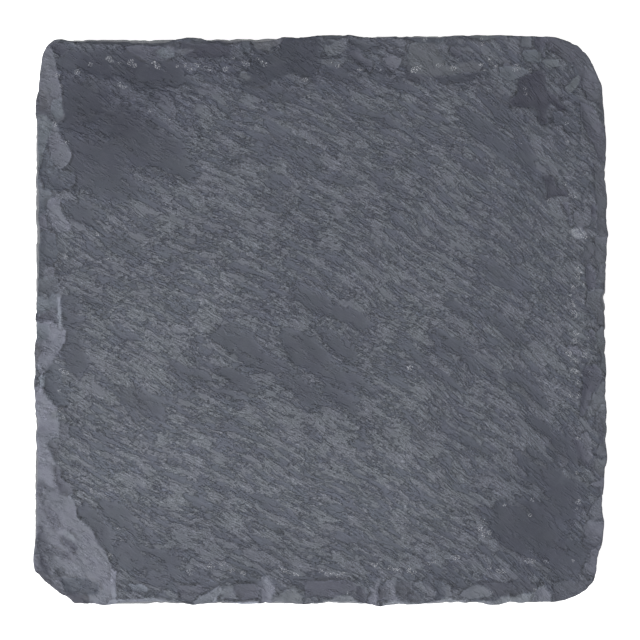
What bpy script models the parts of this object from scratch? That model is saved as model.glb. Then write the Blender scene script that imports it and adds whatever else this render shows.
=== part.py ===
"""Riven slate slab with a hand-dressed edge, on four stick-on rubber feet.

The stone is one split sheet of slate. Its top edge has been dressed all round with a
hammer, which leaves a ring of overlapping flake scars, and the underside is flat. Each
foot is a soft rubber bumper held to the underside by a disc of adhesive film.

Frame: +X to the right, +Y to the rear, +Z up. The origin is on the table, under the
centre of the slab's outline. Dimensions below are in millimetres.
"""
import math

import bmesh
import bpy
from mathutils import Vector

MM = 0.001

# Slab
WIDTH = 100.0               # along X, over the widest points
DEPTH = 99.5                # along Y
STONE_THICKNESS = 5.5
RIM_SEGMENTS = 200          # facets round the outline

# Feet
FOOT_HEIGHT = 2.0
FOOT_TOP_RADIUS = 5.0       # the wider, glued end
FOOT_BASE_RADIUS = 4.6
FOOT_EDGE_RADIUS = 0.35
FOOT_SEGMENTS = 36
FOOT_X = 36.0               # foot centres, left and right of the middle
FOOT_Y = 35.6               # and in front of and behind it

# Adhesive film between each foot and the stone
FILM_THICKNESS = 0.25
FILM_RADIUS = 4.7
GLUE_GAP = 0.05             # air left between two glued faces

# Heights that follow from the stack
FILM_Z = FOOT_HEIGHT + GLUE_GAP
STONE_Z = FILM_Z + FILM_THICKNESS + GLUE_GAP
TOP_Z = STONE_Z + STONE_THICKNESS

# Edge of the stone
UNDER_ARRIS = 0.4           # worn underside edge, inwards
UNDER_ARRIS_RISE = 0.5      # and upwards
WALL_LEAN = 0.35            # how far the side wall leans in by its top
SCAR_SLOPE = 0.40           # depth of a scar at the rim, as a share of its reach
MIN_EDGE_THICKNESS = 1.7    # stone always left at the rim
LEAST_REACH = 1.2           # the edge is chipped at least this far in everywhere
SCAR_RINGS = (0.30, 0.65)   # rings between rim and scar end, as shares of the reach

# Outline seen from above, counter-clockwise from the front left corner. A smooth closed
# curve runs through these points. Each corner is broken differently.
OUTLINE = [
    (-41.2, -49.5), (-14.0, -49.5), (13.0, -49.6), (34.0, -49.3),           # front
    (40.8, -49.0), (44.7, -48.0), (46.8, -46.8), (47.9, -44.9),             # front right
    (48.4, -41.8), (49.2, -37.5), (49.5, -31.0), (49.95, -22.6),
    (50.0, 0.0), (50.0, 20.0),                                              # right
    (49.7, 34.1), (49.1, 40.4), (47.9, 44.3), (45.7, 47.7),                 # rear right
    (42.1, 49.2), (34.3, 49.7),
    (18.0, 49.9), (0.0, 49.6), (-24.0, 49.3),                               # rear
    (-43.8, 49.2), (-46.9, 48.2), (-48.5, 45.9), (-49.0, 41.5),             # rear left
    (-49.7, 37.0),
    (-49.9, 20.0), (-49.8, 0.0), (-49.9, -12.0), (-50.0, -34.0),            # left
    (-50.0, -41.8), (-49.1, -44.3), (-46.8, -46.9), (-44.0, -48.6),         # front left
]

# Flake scars along each side: (place along the side, half its width, reach inwards).
LEFT_SCARS = [
    (40.5, 6.5, 5.8), (30.0, 4.2, 6.6), (25.5, 2.6, 5.0), (18.5, 3.6, 6.8), (11.5, 3.6, 3.6),
    (1.8, 3.0, 5.0), (-4.0, 4.2, 6.4), (-10.5, 2.8, 3.0), (-17.0, 3.2, 5.0), (-24.5, 4.6, 4.2),
]
REAR_SCARS = [
    (-41.0, 5.0, 1.8), (-29.5, 5.2, 4.5), (-21.5, 3.8, 3.0), (-14.0, 4.5, 2.6), (-5.0, 5.0, 2.0),
    (2.0, 2.8, 4.8), (7.5, 2.8, 4.6), (11.5, 2.8, 7.0), (18.5, 4.0, 6.2), (24.5, 4.4, 6.6),
    (30.0, 2.8, 4.0), (35.0, 3.2, 6.2),
]
RIGHT_SCARS = [
    (28.5, 5.0, 4.2), (22.8, 2.4, 2.6), (18.5, 3.6, 6.2), (10.0, 5.2, 4.4), (2.0, 3.8, 5.0),
    (-4.0, 2.8, 4.0), (-9.5, 4.6, 4.8), (-15.5, 3.0, 3.4), (-22.0, 4.0, 6.0), (-27.0, 2.2, 2.8),
    (-31.0, 3.6, 3.6), (-36.5, 3.0, 4.4), (-41.5, 2.8, 2.6),
]
FRONT_SCARS = [
    (38.0, 3.2, 3.8), (32.5, 3.2, 2.0), (26.5, 3.4, 4.2), (20.0, 3.2, 5.4), (15.0, 2.6, 4.6),
    (12.0, 2.2, 4.6), (8.8, 2.4, 5.0), (3.0, 4.2, 2.4), (-4.0, 3.6, 3.0), (-9.0, 2.6, 5.2),
    (-14.5, 3.6, 2.2), (-20.5, 3.0, 3.0), (-28.0, 5.5, 2.0), (-33.0, 3.0, 3.6),
]
# Scars that sit on a corner: (x, y, half width, reach).
CORNER_SCARS = [
    (-50.0, -34.0, 5.5, 8.3), (-49.0, -43.0, 8.0, 10.4), (-43.0, -49.3, 7.0, 8.0),
    (-48.0, 46.0, 4.0, 3.0),
    (41.5, 49.0, 4.5, 6.0), (47.5, 45.0, 6.0, 8.0), (49.5, 37.0, 5.5, 6.5),
    (47.0, -46.5, 3.6, 2.6),
]


def curve_point(p0, p1, p2, p3, t):
    """Point at t on the Catmull-Rom span from p1 to p2."""
    return 0.5 * (
        2 * p1
        + (p2 - p0) * t
        + (2 * p0 - 5 * p1 + 4 * p2 - p3) * t ** 2
        + (3 * p1 - p0 - 3 * p2 + p3) * t ** 3
    )


def outline_curve(steps=24):
    """The smooth outline as closely spaced points, centred and brought to size."""
    points = [Vector(p) for p in OUTLINE]
    count = len(points)
    dense = []
    for i in range(count):
        span = [points[(i + k) % count] for k in (-1, 0, 1, 2)]
        dense += [curve_point(*span, step / steps) for step in range(steps)]
    low = Vector((min(p.x for p in dense), min(p.y for p in dense)))
    high = Vector((max(p.x for p in dense), max(p.y for p in dense)))
    middle = (low + high) / 2
    stretch = Vector((WIDTH / (high.x - low.x), DEPTH / (high.y - low.y)))
    return [(p - middle) * stretch for p in dense]


def rim_points(dense, count):
    """Points spaced evenly along the closed curve, with the curve's length."""
    lengths = [0.0]
    for i, point in enumerate(dense):
        lengths.append(lengths[-1] + (dense[(i + 1) % len(dense)] - point).length)
    total = lengths[-1]
    rim = []
    i = 0
    for k in range(count):
        target = total * k / count
        while lengths[i + 1] < target:
            i += 1
        share = (target - lengths[i]) / (lengths[i + 1] - lengths[i])
        rim.append(dense[i].lerp(dense[(i + 1) % len(dense)], share))
    return rim, total


def all_scars():
    """Every scar as (point near the rim, half width, reach)."""
    half_x = WIDTH / 2
    half_y = DEPTH / 2
    scars = [(Vector((-half_x, y)), width, reach) for y, width, reach in LEFT_SCARS]
    scars += [(Vector((half_x, y)), width, reach) for y, width, reach in RIGHT_SCARS]
    scars += [(Vector((x, half_y)), width, reach) for x, width, reach in REAR_SCARS]
    scars += [(Vector((x, -half_y)), width, reach) for x, width, reach in FRONT_SCARS]
    scars += [(Vector((x, y)), width, reach) for x, y, width, reach in CORNER_SCARS]
    return scars


def edge_profile(rim, total):
    """For each rim point, how far in and how deep the edge is dressed there."""
    spacing = total / len(rim)
    reaches = [LEAST_REACH] * len(rim)
    for place, half_width, reach in all_scars():
        centre = min(range(len(rim)), key=lambda i: (rim[i] - place).length)
        for i in range(len(rim)):
            steps = abs(i - centre)
            along = min(steps, len(rim) - steps) * spacing
            if along < half_width:
                local = reach * math.sqrt(1 - (along / half_width) ** 2)
                reaches[i] = max(reaches[i], local)
    reaches = [
        (reaches[i - 1] + 2 * reach + reaches[(i + 1) % len(reaches)]) / 4
        for i, reach in enumerate(reaches)
    ]
    most = STONE_THICKNESS - MIN_EDGE_THICKNESS
    depths = [min(SCAR_SLOPE * reach + 0.3, most) for reach in reaches]
    return reaches, depths


def moved_in(point, inset):
    """A rim point moved towards the middle by inset, measured square to the side."""
    return point * (1 - inset / (WIDTH / 2))


def build_stone(material):
    rim, total = rim_points(outline_curve(), RIM_SEGMENTS)
    reaches, depths = edge_profile(rim, total)
    edge = list(zip(rim, reaches, depths))

    rings = [
        [(moved_in(p, UNDER_ARRIS), STONE_Z) for p in rim],
        [(p, STONE_Z + UNDER_ARRIS_RISE) for p in rim],
    ]
    for share in (0.0, *SCAR_RINGS, 1.0):
        rings.append([
            (moved_in(p, WALL_LEAN + (reach - WALL_LEAN) * share), TOP_Z - depth * (1 - share))
            for p, reach, depth in edge
        ])

    bm = bmesh.new()
    bmesh.ops.create_circle(bm, cap_ends=True, segments=RIM_SEGMENTS, radius=1.0)
    underside = bm.faces[:][0]
    place_ring(underside, rings[0])
    face = underside
    for ring in rings[1:]:
        grown = bmesh.ops.extrude_face_region(bm, geom=[face])
        if face is not underside:
            bmesh.ops.delete(bm, geom=[face], context="FACES_ONLY")
        face = [item for item in grown["geom"] if isinstance(item, bmesh.types.BMFace)][0]
        place_ring(face, ring)
    bmesh.ops.recalc_face_normals(bm, faces=bm.faces)
    stone = new_object("stone_slab", bm, material)
    stone.data.set_sharp_from_angle(angle=math.radians(30))


def place_ring(face, ring):
    """Put the corners of a many-sided face on the ring's points."""
    for loop, (point, height) in zip(face.loops, ring):
        loop.vert.co = Vector((point.x, point.y, height)) * MM


def new_object(name, bm, material):
    """Make one object from a bmesh and give it its own material."""
    mesh = bpy.data.meshes.new(name)
    bm.to_mesh(mesh)
    bm.free()
    mesh.materials.append(material)
    return add_copy(name, mesh)


def add_copy(name, mesh):
    item = bpy.data.objects.new(name, mesh)
    bpy.context.scene.collection.objects.link(item)
    return item


def foot_mesh(material):
    """Rubber bumper, base on z = 0, with its bottom edge rounded."""
    bm = bmesh.new()
    bmesh.ops.create_cone(
        bm, cap_ends=True, segments=FOOT_SEGMENTS, depth=FOOT_HEIGHT * MM,
        radius1=FOOT_BASE_RADIUS * MM, radius2=FOOT_TOP_RADIUS * MM,
    )
    bmesh.ops.translate(bm, verts=bm.verts, vec=(0, 0, FOOT_HEIGHT * MM / 2))
    bottom = [e for e in bm.edges if all(v.co.z < MM * FOOT_HEIGHT / 4 for v in e.verts)]
    bmesh.ops.bevel(
        bm, geom=bottom, offset=FOOT_EDGE_RADIUS * MM, offset_type="OFFSET",
        affect="EDGES", segments=3, profile=0.5, material=-1,
    )
    return smooth_mesh("foot", bm, material)


def film_mesh(material):
    """Disc of double-sided adhesive film, underside on z = 0."""
    bm = bmesh.new()
    bmesh.ops.create_cone(
        bm, cap_ends=True, segments=FOOT_SEGMENTS, depth=FILM_THICKNESS * MM,
        radius1=FILM_RADIUS * MM, radius2=FILM_RADIUS * MM,
    )
    bmesh.ops.translate(bm, verts=bm.verts, vec=(0, 0, FILM_THICKNESS * MM / 2))
    return smooth_mesh("foot_adhesive", bm, material)


def smooth_mesh(name, bm, material):
    mesh = bpy.data.meshes.new(name)
    bm.to_mesh(mesh)
    bm.free()
    mesh.materials.append(material)
    mesh.shade_smooth()
    mesh.set_sharp_from_angle(angle=math.radians(35))
    return mesh


def make_material(name, colour, roughness, metallic=0.0):
    material = bpy.data.materials.new(name)
    material.use_nodes = True
    shader = material.node_tree.nodes["Principled BSDF"]
    shader.inputs["Base Color"].default_value = (*colour, 1.0)
    shader.inputs["Roughness"].default_value = roughness
    shader.inputs["Metallic"].default_value = metallic
    return material


def main():
    for item in list(bpy.data.objects):
        bpy.data.objects.remove(item)

    slate = make_material("slate", (0.115, 0.122, 0.144), 0.72)
    rubber = make_material("rubber", (0.018, 0.018, 0.019), 0.65)
    adhesive = make_material("adhesive", (0.62, 0.62, 0.58), 0.45)

    build_stone(slate)
    foot = foot_mesh(rubber)
    film = film_mesh(adhesive)
    for depth_name, y in (("front", -FOOT_Y), ("rear", FOOT_Y)):
        for side_name, x in (("left", -FOOT_X), ("right", FOOT_X)):
            place = f"{depth_name}_{side_name}"
            add_copy(f"foot_{place}", foot).location = (x * MM, y * MM, 0)
            add_copy(f"foot_adhesive_{place}", film).location = (x * MM, y * MM, FILM_Z * MM)


main()
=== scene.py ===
"""Looks for the riven slate slab: its split face, its dressed edge and its stick-on feet.

The stone is worked out in millimetres as heights over a fine grid that follows the slab's
outline. Two fields drive both its shape and its colour: the laminae left on the split face,
and the flake scars knocked off the edge.
"""

import math
from collections import namedtuple

import bmesh
import bpy
import numpy as np
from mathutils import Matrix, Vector


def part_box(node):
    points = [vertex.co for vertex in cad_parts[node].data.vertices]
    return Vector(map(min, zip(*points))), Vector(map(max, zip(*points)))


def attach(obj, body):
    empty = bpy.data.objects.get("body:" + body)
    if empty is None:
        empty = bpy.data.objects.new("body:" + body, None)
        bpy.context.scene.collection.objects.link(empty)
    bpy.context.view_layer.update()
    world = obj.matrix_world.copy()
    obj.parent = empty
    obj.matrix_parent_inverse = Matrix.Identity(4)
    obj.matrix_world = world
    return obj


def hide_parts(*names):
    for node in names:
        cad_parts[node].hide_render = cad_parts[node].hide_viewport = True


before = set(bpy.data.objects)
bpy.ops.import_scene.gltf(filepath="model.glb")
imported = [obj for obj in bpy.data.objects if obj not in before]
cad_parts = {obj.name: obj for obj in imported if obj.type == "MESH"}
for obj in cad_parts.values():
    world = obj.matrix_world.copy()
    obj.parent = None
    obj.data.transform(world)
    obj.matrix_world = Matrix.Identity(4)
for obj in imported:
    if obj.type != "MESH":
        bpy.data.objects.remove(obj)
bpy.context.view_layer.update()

FEET = [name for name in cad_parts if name.startswith("foot_") and "adhesive" not in name]
FILMS = [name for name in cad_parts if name.startswith("foot_adhesive")]

MM = 0.001

# The stone's box, in millimetres
STONE_LOW, STONE_HIGH = (np.array(corner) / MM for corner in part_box("stone_slab"))
STONE_BASE = STONE_LOW[2]
STONE_TOP = STONE_HIGH[2]
HALF_X = STONE_HIGH[0]
HALF_Y = STONE_HIGH[1]

# Mesh
FACE_CELLS = 252            # grid cells across the split face
CROWDING = 0.22             # how much finer those cells are at the dressed edge
SQUARE_CORE = 6             # the higher, the more of the grid stays square inside the outline
WALL_ROWS = 8               # rows of cells down the side wall
WELD = 0.001                # points closer than this are one point
UNDERSIDE_MARK = 2.0        # marks the underside's points in the "wall" layer while it is made

# Split face
GRAIN_ANGLE = 27.0          # the streaks run down to the right by this, in degrees
GRAIN_ANGLE_RIGHT = 40.0    # and steepen to this towards the right edge
GRAIN_BEND = (2.0, 38.0)    # x where the steepening starts and where it is complete
LAMINA_HEIGHT = 0.085       # step up from bare ground to a lamina that stayed on
SWELL_HEIGHT = 0.16         # slow waves of the whole face
RIPPLE_HEIGHT = 0.03        # fine ripples along the grain
PATCH_DEPTH = 0.10          # smooth patches lie this far below the laminae

# Dressed edge
MIN_EDGE_THICKNESS = 1.7    # stone always left at the rim
FACET_LEDGE = 0.13          # step where a flake broke away from the face
BORDER_WANDER = 0.30        # how far the borders of the facets stray from straight
NICK_DEPTH = 0.38           # deepest nick in the outline
NICK_PITCH = 28             # nicks per radian, roughly
SCAR_ROUGHNESS = 0.05       # height of the unevenness inside the scars
TERRACE = 0.42              # height of the cleavage steps inside a facet
CHIP_COUNT = 90             # small chips round the rim
CHIP_SEED = 9
CORNER_SPAN = 12            # degrees to either side of a diagonal that count as a corner

# Side wall and underside
MEAN_RADIUS = 50            # turns an angle into a distance round the rim
INSET_RANGE = (0.15, 1.6)   # least and most that the top of the wall lies in from the outline
WALL_LEAN = 2.2             # how soon the wall straightens below the rim
FIRST_RING_WALL = 0.6       # how far the wall's first ring already looks like the wall
LAYER_RELIEF = 0.13         # ledges of the split layers in the wall
UNDER_ARRIS = 0.4           # worn underside edge, inwards and upwards
UNDER_RELIEF = 0.07         # hollows of the underside
FOOT_PAD = (5.5, 7.5)       # radius kept flat under a foot, and where the hollows are full again

# Colour
DEEP_BLUE = 0.28            # how much bluer the dark facets and zones are
ZONE_LIMIT = 0.08           # lighter zones than this turn no less blue

# Flake facets and hollows of the dressed edge, later ones over earlier ones:
# (tone, hue, cut, x and y of each corner). Tone is how much lighter than the face it is, cut how
# steeply it falls. The tone is partly the stone's own colour and partly painted light: the front
# facets, which face the key light, are painted lighter, and the dark hollows carry painted shade.
FACETS = [
    # left side, rear to front
    (.08, "violet", .34, -54,49, -47.3,48.2, -46.2,46.6, -45.9,45.4, -45.4,43, -45,41, -44.6,39.4,
        -44.4,36.6, -43.8,35, -45.4,33.9, -47.4,35.2, -54,35.5),
    (-.06, "brown", .05, -48.6,40, -47,39.6, -46.6,37.5, -46.8,36, -48.4,36.2),
    (.12, "teal", 0, -46.2,38, -44.7,38.2, -44.2,35.4, -45.6,34.6, -46.6,36),
    (-.44, "violet", .1, -46.6,47.8, -44.2,47.8, -43,46.6, -44.6,45.5, -46,46.4),
    (.06, "teal", .34, -54,35.4, -47.6,35.3, -46,33.9, -46.8,31.2, -47.7,29, -48.2,26.6, -54,25.6),
    (.22, "violet", .12, -46,34.1, -45.2,33.2, -44.7,31.5, -43.6,30.2, -42.8,28.6, -43.4,27, -44.6,26,
        -45.6,26.2, -46.3,27.6, -46.9,30.6),
    (-.32, "teal", .16, -48.1,28.6, -47.2,29.4, -46.4,27.6, -45.4,26, -44.2,25.6, -42.4,25.4,
        -42.2,23.4, -44.6,22.3, -47.4,22.6, -48.3,25),
    (-.12, "teal", .3, -54,25.5, -48.6,25, -48,22.4, -46.4,22.3, -45.6,20.8, -46.8,18.6, -48.6,18.2,
        -54,18.5),
    (.32, "violet", .12, -47.2,20.6, -46,21.2, -44.9,20.9, -44.7,19, -43.7,17.4, -42.9,16, -43.6,15.2,
        -45.4,15, -46.3,16.4, -47,18.2),
    (.14, "grey", 0, -43.6,17.8, -42.6,17, -40.6,16.4, -40.4,15.4, -42,15.3, -43,16.2),
    (-.12, "violet", .1, -48.5,18.2, -47.6,18.4, -47,16.6, -47.2,15.6, -48.4,15.8),
    (-.24, "teal", .2, -48.9,14.2, -47.6,15.6, -45.9,14.8, -45.4,12.6, -45.2,10.4, -46.6,9.8,
        -48.9,9.6),
    (-.1, "grey", .3, -54,16, -48.4,15.8, -49,13.4, -54,13),
    (-.36, "green", .2, -54,10, -47.6,9.8, -47,8.4, -47.6,7.2, -54,7.4),
    (.12, "violet", 0, -48,8, -46.4,9.4, -45.8,8.6, -46,7.4, -47.4,7.2),
    (-.12, "green", .15, -48.6,7.2, -46,7.2, -45.2,7.6, -45.1,5, -46.4,4.4, -48.4,4.8),
    (.2, "teal", .28, -54,4.6, -48.4,4, -47,3.4, -46.2,4.3, -45.1,4.3, -45.1,1.8, -46,2.2, -47.2,1.4,
        -48.4,.9, -54,1.5),
    (1.25, "grey", 0, -45.3,4, -44.9,4, -44.6,1, -44.5,-1.4, -45,-1.4, -45.2,1),
    (-.2, "violet", .16, -47.6,1.4, -46,2, -45.3,1, -45.2,-.4, -49,-.3, -48.6,.8),
    (.5, "violet", .3, -54,-.4, -45.2,-.5, -43.7,-1.6, -43.8,-3, -44.2,-4.3, -45,-5.4, -46,-7, -47,-8.3,
        -48,-9.6, -48.9,-8, -48.2,-5.6, -48.9,-3.7, -54,-3.4),
    (.22, "teal", 0, -49.6,-.6, -46.8,-.8, -46.4,-2.2, -47.6,-3.6, -49.4,-3.2),
    (-.26, "teal", .16, -47.4,-8.6, -46.3,-7.4, -45.2,-8, -44.7,-10, -44.2,-12.6, -43.4,-14.6,
        -45.4,-14.8, -46.6,-13.7, -47.4,-11.9, -47.8,-10.2),
    (-.08, "brown", .3, -54,-3.6, -48.8,-3.8, -48.2,-5.6, -48.9,-8, -54,-9),
    (.82, "teal", .1, -48.6,-9.6, -47.6,-9.6, -47.4,-11.4, -48.4,-11.8),
    (.42, "violet", .28, -54,-12, -48.2,-11.6, -47,-13.8, -45.4,-15.1, -45.1,-17.6, -44.9,-20,
        -45.9,-20.4, -47.4,-21.3, -46.4,-23, -45.6,-24.4, -45.8,-26, -45.4,-28.4, -45,-29.6, -54,-31),
    (.26, "olive", .05, -46.4,-15.6, -45.1,-15.4, -45,-16.6, -46.2,-17),
    (-.28, "olive", .2, -47.4,-21.2, -46.2,-20.8, -45.2,-21.8, -44.9,-24.2, -45.7,-24.3, -46.4,-22.8),
    (-.06, "violet", .08, -44.9,-17.6, -43.4,-17.8, -43.2,-20.6, -44.8,-20.9),
    # front left corner
    (.27, "violet", .26, -54,-29.8, -45,-29.7, -43.4,-30, -42.4,-31.6, -42,-34, -40.5,-35, -39.1,-36.4,
        -38.4,-38.4, -37,-40.2, -36,-42.4, -35.2,-43.1, -35.2,-54, -54,-54),
    (-.14, "violet", .15, -45.9,-25.2, -45,-25, -44.7,-27.4, -43.2,-28.5, -42.4,-30, -43.6,-30.2,
        -45,-29.8, -45.6,-28.4),
    (-.14, "violet", .12, -49,-36.9, -47.4,-36.9, -47.2,-39.4, -44.8,-39.9, -43,-40.3, -43.4,-41.2,
        -45.4,-40.9, -48.9,-40.4),
    (-.4, "violet", .12, -44.7,-37.2, -43.6,-38, -42.4,-38.6, -41.8,-39.6, -42.4,-40.2, -43.4,-39.4,
        -44.4,-38.6),
    (-.34, "teal", .1, -45.4,-44.9, -41,-44.6, -38.2,-45.4, -38.4,-47.4, -42.6,-48.2, -44.4,-46.6),
    (-.32, "violet", .2, -48.9,-40.6, -47.7,-40.8, -46.9,-43, -46.3,-44.2, -47.3,-44.2, -48.4,-43.2),
    (-.32, "olive", .1, -46.2,-43.2, -44.3,-43.1, -44.1,-44.6, -45.8,-44.6),
    (-.42, "brown", .1, -54,-43, -48.4,-43.4, -46.6,-45, -44.4,-47.2, -42,-47.6, -39.8,-47.8, -39.6,-54,
        -54,-54),
    (.44, "violet", 0, -36.1,-43, -35.3,-43.3, -35.3,-48, -36,-48),
    (.45, "grey", 0, -44.8,-36.6, -44,-36.3, -42.2,-37.9, -42.3,-38.6),
    (-.1, "violet", .05, -48.4,-28.6, -47.6,-28.8, -47.5,-31.8, -46,-33.4, -45.2,-36.6, -45.8,-36.4,
        -46.8,-34, -48,-32.2),
    # front side, left to right
    (.65, "grey", .3, -38.6,-54, -36.6,-48.4, -35,-48.1, -31,-48.2, -29.6,-47.9, -26,-48.4, -23.6,-48.8,
        -23.6,-54),
    (.32, "teal", .06, -33.2,-45.6, -31,-45.5, -29.8,-46.1, -29.9,-46.8, -31.4,-46.9, -32.6,-46.6),
    (-.14, "violet", .08, -24.4,-46, -20.6,-45.6, -19.4,-46.6, -21.2,-47.6, -22.2,-48.6, -24,-48.4),
    (1.6, "olive", .3, -24,-54, -20,-48.9, -10.6,-48.5, -10.6,-54),
    (.58, "grey", .2, -21.8,-54, -21.6,-48.6, -20.8,-47.8, -19.2,-46.9, -18.3,-46.2, -17.2,-46,
        -16.4,-46.8, -17,-47.3, -17.9,-48, -17.4,-54),
    (.34, "grey", .1, -17.6,-46.2, -16,-46, -14.4,-47, -13.6,-48, -17,-48.2, -17.2,-47),
    (-.18, "violet", .08, -14.6,-45.6, -11,-45.4, -10.6,-48, -13.4,-48.2, -14.8,-46.8),
    (.52, "violet", .3, -10.6,-45.2, -10.2,-44.2, -9,-44, -8.4,-45, -8,-46, -8.2,-48.4, -8.6,-54,
        -10.2,-54, -10.1,-47.4, -10.5,-46.6),
    (.18, "olive", .25, -8.2,-48, -5.6,-46.4, -4,-46.6, -3,-48.4, -3.4,-54, -8.2,-54),
    (-.23, "violet", .05, -3,-44.9, 1,-45, 6,-44.8, 6.4,-46.4, 4.6,-47.3, .8,-48, -2.6,-47.6),
    (.34, "olive", .28, .6,-54, 1.4,-48.4, 2.4,-47.8, 4,-47.5, 5.4,-47.6, 6.6,-48.8, 6.8,-54),
    (-.34, "grey", .2, 6.6,-46, 8,-46.2, 8.1,-47.6, 7.6,-48.8, 6.9,-48.6),
    (.32, "violet", .12, 8.4,-45.9, 9.2,-46.2, 9.8,-44.6, 10.2,-44.4, 10.2,-45.6, 9.7,-47, 9.6,-48.8,
        9.6,-54, 7.8,-54, 8.2,-48.6, 8.6,-47.4),
    (-.15, "violet", .15, 10.1,-46, 11,-45.6, 11,-48.2, 9.9,-48.4),
    (.3, "violet", .22, 11,-45.4, 11.4,-44.8, 12.6,-44.9, 13,-46, 13,-47.4, 14,-48.4, 12,-48.6,
        10.9,-47.8),
    (-.3, "olive", .15, 13,-45, 15.8,-45.1, 16,-46.6, 15,-47.2, 14.9,-48.8, 14,-48.4, 13,-47),
    (-.22, "grey", .15, 15.2,-46.8, 16.4,-46.4, 18,-48.4, 17.6,-48.9, 15,-48.9),
    (.24, "grey", .08, 16,-45.4, 17.4,-45, 19.8,-46.8, 19.9,-47.6, 18.6,-48, 17.2,-46.8),
    (-.3, "teal", .18, 19.9,-45, 21.4,-45.2, 21.8,-48, 20,-48.2),
    (.04, "grey", .05, 21.8,-45.4, 22.6,-45.8, 22.8,-47.8, 21.9,-47.9),
    (.88, "olive", .3, 10.4,-54, 10.8,-48.7, 14,-48.6, 18,-49, 19,-48.6, 20.4,-48.3, 22,-47.9,
        23.6,-48.5, 27.5,-48.4, 27.5,-54),
    (.3, "grey", .22, 23.9,-47.6, 24.6,-46.8, 25.6,-46, 27.2,-45.7, 28.4,-46, 29.3,-46.9, 29.4,-47.6,
        27.6,-47.9, 25,-48.2),
    (-.38, "grey", .08, 28,-45.3, 30.4,-45.4, 36,-45.2, 37.4,-45.6, 36.6,-47, 34,-47.6, 30,-47.8,
        29.4,-46.8),
    (.7, "olive", .28, 24,-54, 25,-48.9, 28.8,-48.2, 29.8,-48.7, 31.6,-47.8, 36.4,-47.2, 37,-46.8,
        38,-45.6, 39,-46.2, 39.8,-47, 39.9,-48.8, 39.9,-54),
    (.29, "violet", .05, 37,-46.9, 38.2,-46, 39.6,-46.8, 39.9,-48.8, 37.6,-54, 36.6,-48.8),
    (-.15, "grey", .2, 40.2,-45.4, 45,-45, 47.4,-44.6, 54,-46, 54,-54, 41,-54, 40,-48.2),
    # right side, front to rear
    (.3, "violet", .3, 46.6,-39.8, 48,-39, 54,-39.4, 54,-44.4, 47.4,-44.2, 45.4,-43.6, 45.6,-42,
        46.6,-41.6),
    (.22, "violet", .32, 45.4,-35.4, 46.2,-34.6, 48.6,-34.8, 54,-35, 54,-38.6, 48.4,-38.4, 46.8,-38.2,
        45.4,-36.8),
    (-.34, "grey", .2, 45.4,-37.4, 46.6,-38.2, 48.2,-38.4, 48,-39.2, 46,-39.4, 45.2,-38.6),
    (.25, "violet", .32, 54,-27, 48.4,-27.4, 46.4,-28.4, 48.2,-28.9, 48.4,-30, 46.6,-32.4, 46.3,-33.4,
        46.8,-34.4, 54,-34.4),
    (.2, "olive", .3, 54,-23.6, 48.4,-24, 47.2,-23.4, 47.4,-25.6, 48.6,-27, 54,-27),
    (-.35, "violet", .15, 43.4,-20, 45,-20.8, 45.6,-22.6, 46.4,-24.2, 46.6,-25.4, 45.2,-25, 44.6,-24,
        44.2,-22),
    (.09, "violet", .1, 45,-19.8, 46,-19.2, 46.6,-20.4, 47,-22, 47,-23.6, 46.6,-24.6, 45.8,-22.6,
        45.2,-21),
    (.06, "grey", .25, 54,-14, 48.6,-14.6, 47.6,-16, 47.6,-18.6, 48.4,-21, 47.6,-23.2, 54,-23.6),
    (-.18, "violet", .12, 48.1,-17.8, 48.7,-18, 48.9,-21, 48.3,-21.2),
    (.2, "grey", .18, 47,-13, 48.8,-10.6, 54,-10, 54,-17, 49,-15.4, 47.6,-16.2, 46,-17, 46.4,-14.6),
    (-.28, "violet", .22, 45.3,-8.2, 46.4,-7.8, 47.6,-7.6, 48.7,-9.6, 48.2,-11.4, 46.8,-12.6,
        46.6,-14.2, 45.6,-16.4, 44.8,-16.6, 44.9,-14, 45.4,-11.4),
    (.16, "green", .3, 54,-1, 48.2,-1.2, 47.4,-2.6, 48,-4.6, 48.6,-6.6, 48.4,-8.2, 49.2,-9.4, 54,-9.6),
    (.3, "violet", 0, 42.8,-4.6, 44.4,-4.4, 45,-5, 45.1,-7, 44.4,-6.4, 43.2,-5.4),
    (-.22, "violet", .05, 46,-1.4, 47.2,-1.9, 47.6,-3.2, 47.2,-3.4, 46.8,-2.4),
    (.04, "grey", .3, 54,5.2, 47.6,5.2, 46,4.6, 46,2.2, 47.4,1.2, 47.8,-.6, 54,-.8),
    (-.22, "violet", .2, 46,9.8, 46.8,9.6, 47.4,8, 47.6,6.4, 47.2,5.2, 46.2,5.6, 45.7,7.4),
    (.14, "grey", .3, 47.4,14.4, 47.4,10.8, 48.2,8.6, 47.6,6.4, 54,6, 54,15),
    (-.16, "grey", .1, 45.6,12.8, 46.2,13.6, 47,13, 46.9,11, 46,10.2, 45.3,11),
    (.7, "olive", 0, 42.9,15.4, 44,15.8, 45.4,15.5, 46,14.2, 44.6,13.9, 43.8,14.2),
    (.07, "violet", .1, 43.9,19, 45,18.6, 46.4,18.8, 47,17.8, 46.6,16.4, 45,15.8, 43.8,16, 43.7,17.4),
    (-.2, "violet", .08, 41.8,20, 42.6,20.2, 43.4,18.2, 43.6,16.4, 42.8,16, 42.9,17.6),
    (-.2, "grey", .08, 45,21.6, 46,23, 46.4,22.6, 45.4,20.4, 45,20.6),
    (-.28, "violet", .25, 46.8,19.8, 47.6,19.6, 47.5,17.6, 46.9,17.6),
    (-.02, "grey", .3, 47.2,27, 48,15, 54,15, 54,27),
    (-.56, "violet", .12, 38.2,24.8, 40.3,24.7, 40.5,23, 41.8,22.6, 43,22, 43.2,21.2, 41.2,21.4,
        39.2,21.1, 39,22.6),
    (-.12, "violet", .28, 45,37.6, 46.6,36.8, 48.2,35.4, 48.6,33.4, 54,33, 54,27, 48.4,27.4, 46.8,31,
        45.4,33.4, 44.8,35.6),
    # rear right corner
    (-.11, "violet", .16, 39.6,54, 39,49.2, 39,47.6, 40.4,46.4, 42,45, 43.6,44.4, 44.6,42.4, 44.8,40.4,
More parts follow.
